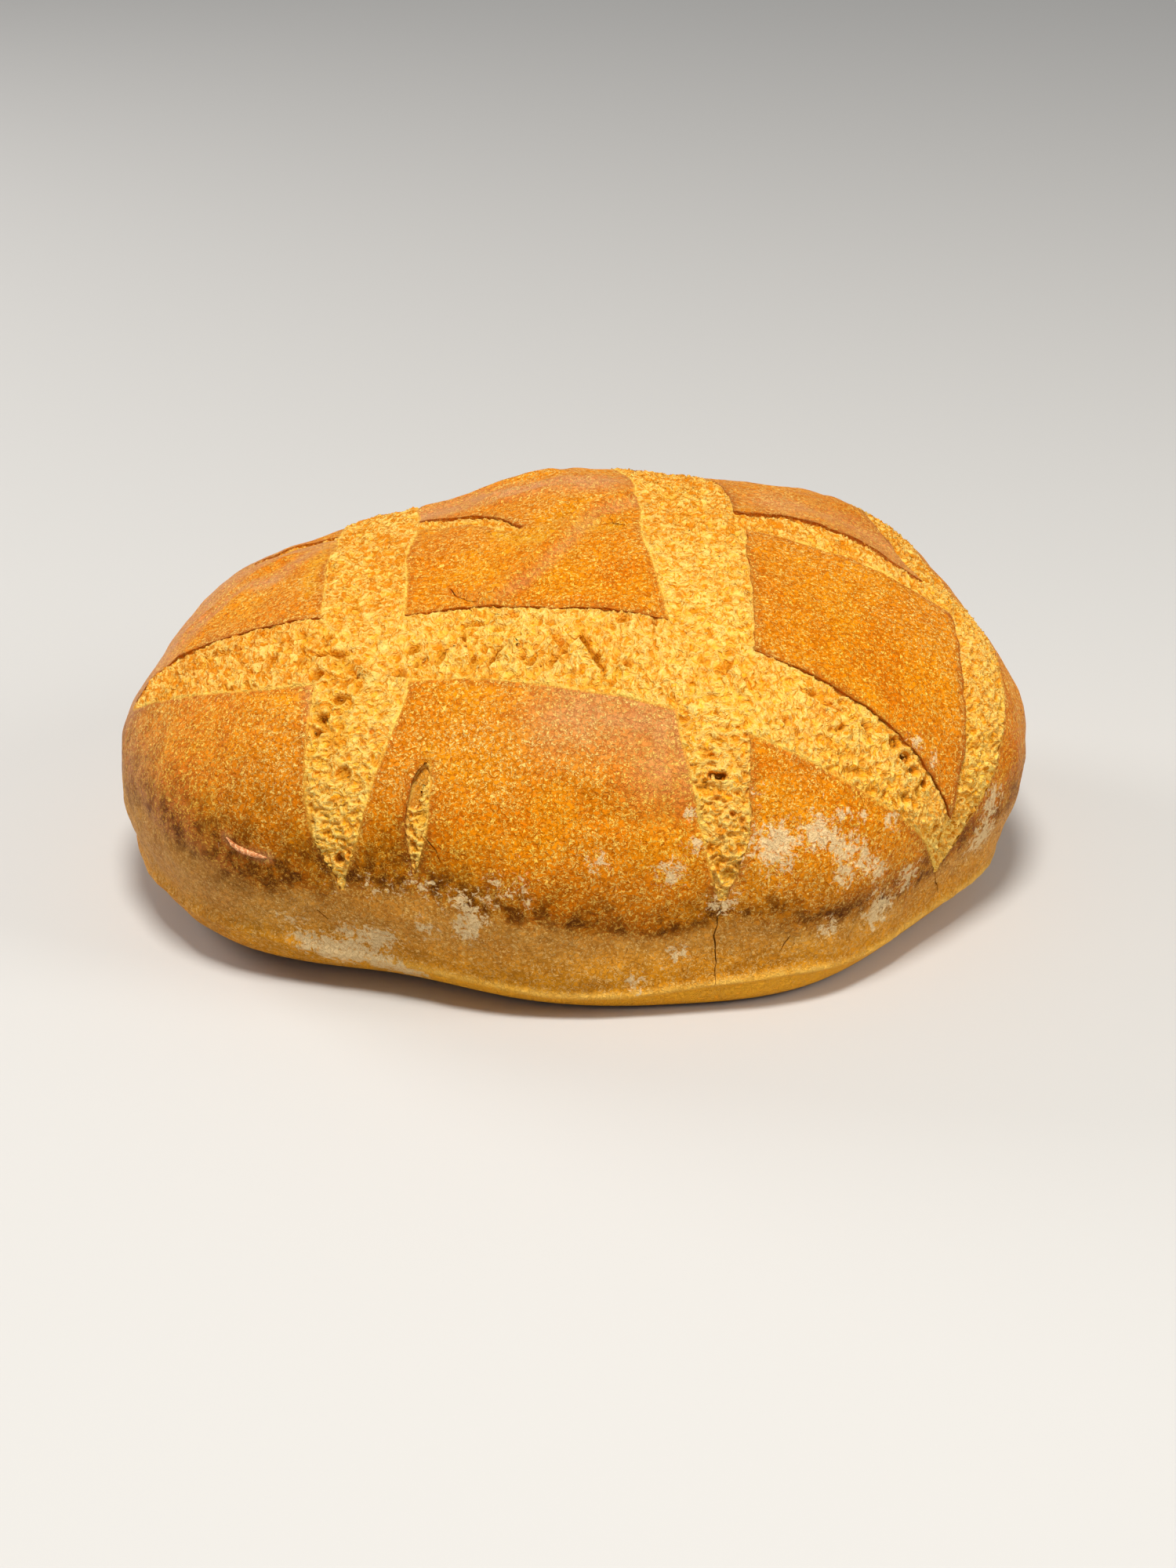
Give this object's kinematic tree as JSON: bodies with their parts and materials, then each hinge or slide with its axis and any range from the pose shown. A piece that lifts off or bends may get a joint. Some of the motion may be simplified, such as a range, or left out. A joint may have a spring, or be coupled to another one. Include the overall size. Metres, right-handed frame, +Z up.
{
  "type": "whole wheat bread",
  "caption": "Rustic oval whole wheat loaf with a browned crust and crossing slashes opened to show pale crumb.",
  "frame": {"origin": "middle of the flat base that the loaf rests on", "axes": "+X along the loaf, +Y towards its rear side, +Z up"},
  "size_m": [0.2074, 0.1658, 0.0895],
  "materials": {
    "crust": "matte, baked, browned orange",
    "crumb": "matte, torn, pale yellow"
  },
  "bodies": {
    "root": {"loaf": "crust"}
  },
  "joints": []
}
